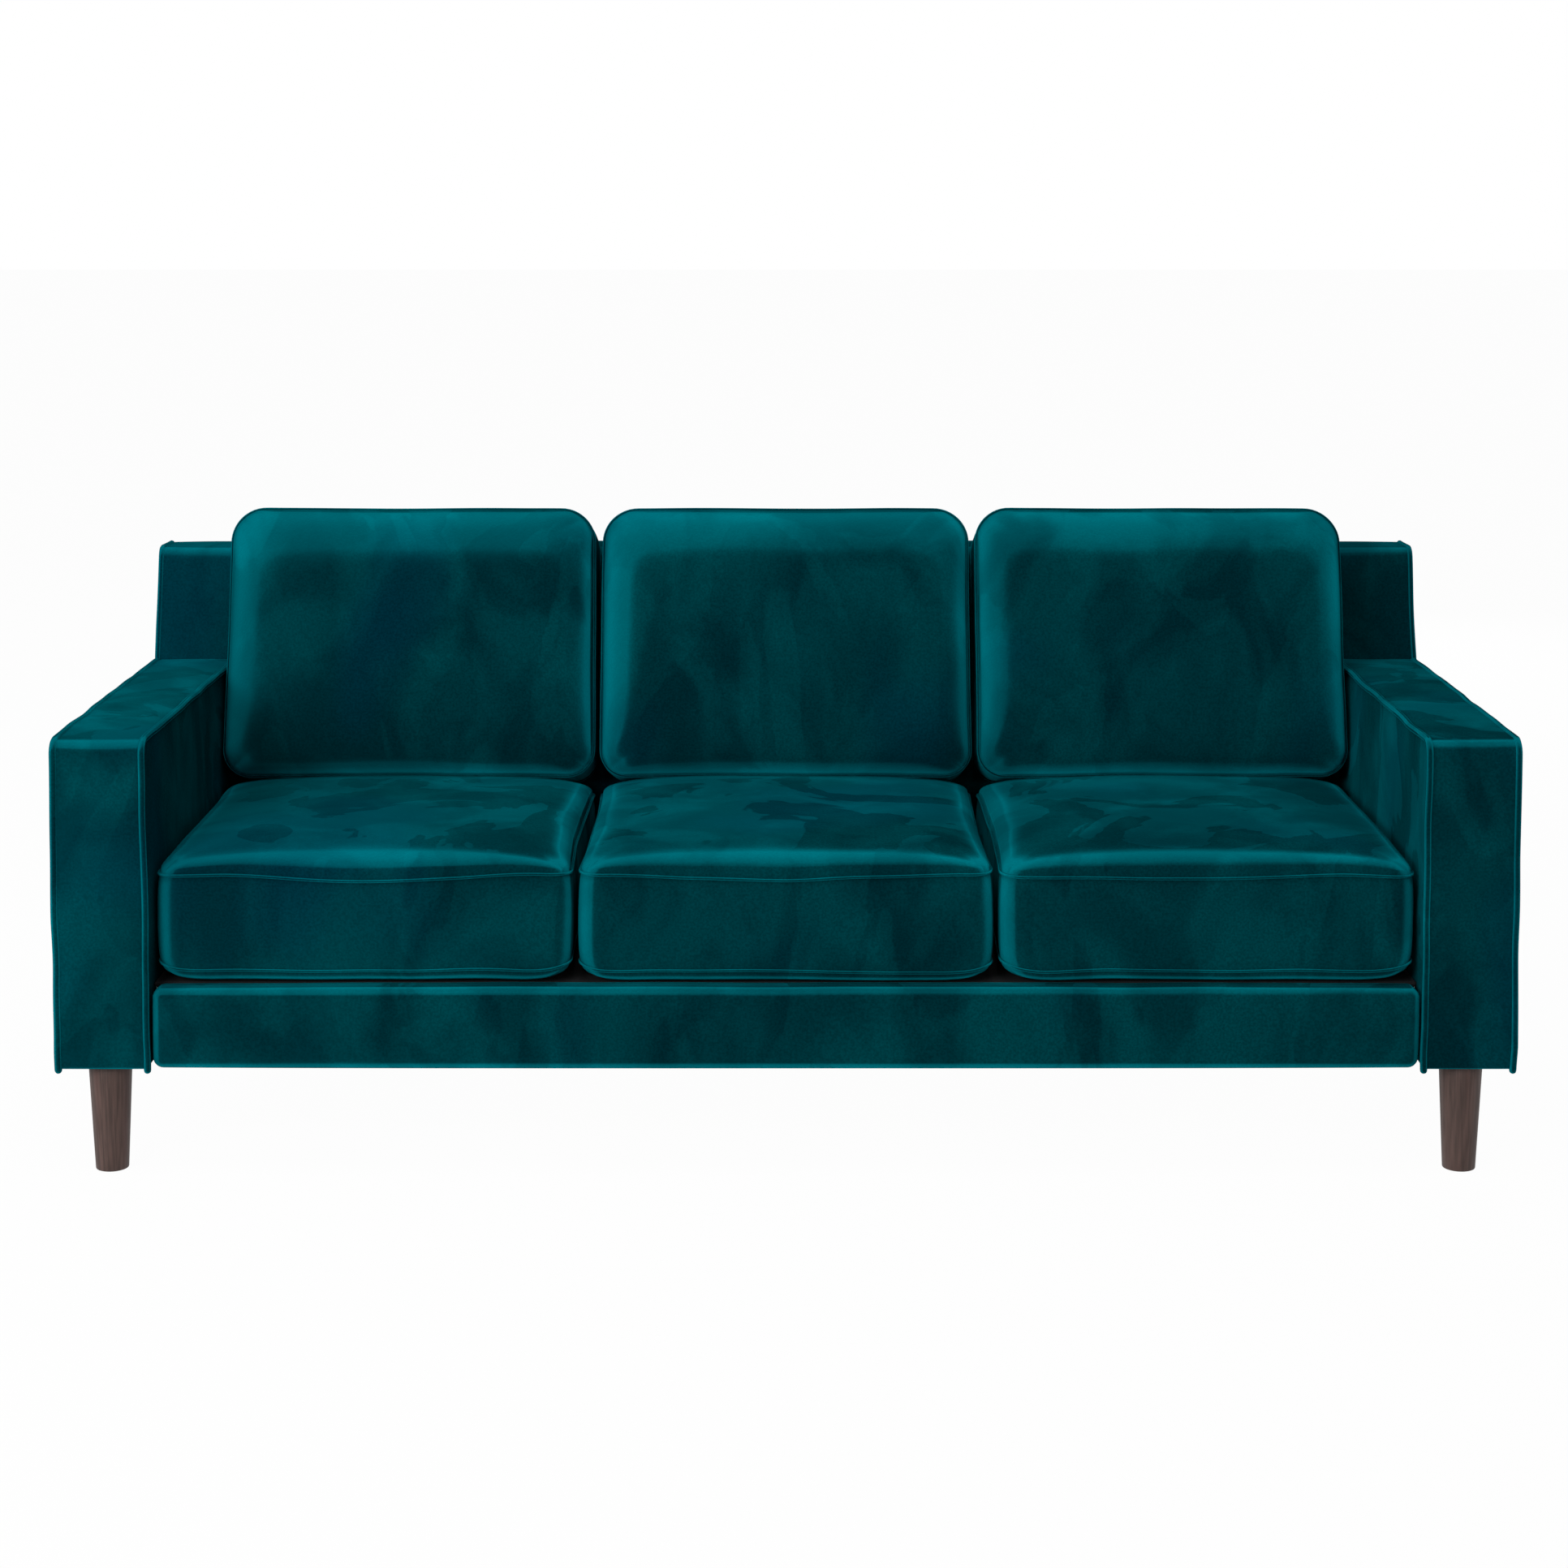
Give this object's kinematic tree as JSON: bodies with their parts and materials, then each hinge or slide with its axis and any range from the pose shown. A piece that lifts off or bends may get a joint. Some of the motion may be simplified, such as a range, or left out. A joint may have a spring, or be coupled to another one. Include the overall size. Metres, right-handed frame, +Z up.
{
  "type": "three-seat sofa",
  "caption": "Upholstered sofa with low slim box arms, a raked back, loose boxed seat and back cushions, a plain apron and tapered round legs.",
  "frame": {"origin": "on the floor under the middle of the sofa's bounding box", "axes": "+X along the seat towards the right arm as seen from the front, +Y from the front to the back, +Z up"},
  "size_m": [1.96, 0.82, 0.8386],
  "materials": {
    "velvet": "short-pile velvet, deep teal",
    "cushion_foam": "open-cell foam",
    "padding": "bonded fibre",
    "webbing": "woven elastic strap",
    "lining": "non-woven black cloth",
    "walnut": "matt walnut stain",
    "frame_wood": "raw plywood and softwood",
    "hardboard": "raw hardboard",
    "bolt_steel": "zinc plated",
    "glide_felt": "matt black"
  },
  "bodies": {
    "frame": {"leg_front_left": "walnut", "leg_front_right": "walnut", "leg_rear_left": "walnut", "leg_rear_right": "walnut", "leg_bolts": "bolt_steel", "leg_t_nuts": "bolt_steel", "leg_glides": "glide_felt", "arm_left_cover": "velvet", "arm_left_padding": "padding", "arm_left_front_post": "frame_wood", "arm_left_rear_post": "frame_wood", "arm_left_top_rail": "frame_wood", "arm_left_bottom_board": "frame_wood", "arm_left_bolt_rail": "frame_wood", "arm_right_cover": "velvet", "arm_right_padding": "padding", "arm_right_front_post": "frame_wood", "arm_right_rear_post": "frame_wood", "arm_right_top_rail": "frame_wood", "arm_right_bottom_board": "frame_wood", "arm_right_bolt_rail": "frame_wood", "arm_side_panels": "hardboard", "apron_cover": "velvet", "apron_padding": "padding", "apron_board": "frame_wood", "seat_front_rail": "frame_wood", "seat_rear_rail": "frame_wood", "seat_left_rail": "frame_wood", "seat_right_rail": "frame_wood", "seat_cross_rails": "frame_wood", "seat_corner_blocks": "frame_wood", "seat_webbing_long": "webbing", "seat_webbing_cross": "webbing", "deck_pad": "padding", "deck_cloth": "lining", "dust_cover": "lining", "back_cover": "velvet", "back_padding": "padding", "back_ribs": "frame_wood", "back_top_rail": "frame_wood", "back_middle_rail": "frame_wood", "back_bolt_rail": "frame_wood", "back_bottom_board": "frame_wood", "back_rear_panel": "hardboard", "back_webbing": "webbing", "frame_bolts": "bolt_steel", "frame_t_nuts": "bolt_steel"},
    "seat_cushion_left": {"seat_cushion_left_cover": "velvet", "seat_cushion_left_foam": "cushion_foam"},
    "seat_cushion_middle": {"seat_cushion_middle_cover": "velvet", "seat_cushion_middle_foam": "cushion_foam"},
    "seat_cushion_right": {"seat_cushion_right_cover": "velvet", "seat_cushion_right_foam": "cushion_foam"},
    "back_cushion_left": {"back_cushion_left_cover": "velvet", "back_cushion_left_foam": "cushion_foam"},
    "back_cushion_middle": {"back_cushion_middle_cover": "velvet", "back_cushion_middle_foam": "cushion_foam"},
    "back_cushion_right": {"back_cushion_right_cover": "velvet", "back_cushion_right_foam": "cushion_foam"}
  },
  "joints": [
    {"name": "seat_cushion_left_slide", "type": "slide", "parent": "frame", "child": "seat_cushion_left", "axis": [0, -1, 0], "range_m": [0, 0.6]},
    {"name": "seat_cushion_middle_slide", "type": "slide", "parent": "frame", "child": "seat_cushion_middle", "axis": [0, -1, 0], "range_m": [0, 0.6]},
    {"name": "seat_cushion_right_slide", "type": "slide", "parent": "frame", "child": "seat_cushion_right", "axis": [0, -1, 0], "range_m": [0, 0.6]},
    {"name": "back_cushion_left_lift", "type": "slide", "parent": "frame", "child": "back_cushion_left", "axis": [0, 0, 1], "range_m": [0, 0.36]},
    {"name": "back_cushion_middle_lift", "type": "slide", "parent": "frame", "child": "back_cushion_middle", "axis": [0, 0, 1], "range_m": [0, 0.36]},
    {"name": "back_cushion_right_lift", "type": "slide", "parent": "frame", "child": "back_cushion_right", "axis": [0, 0, 1], "range_m": [0, 0.36]}
  ]
}
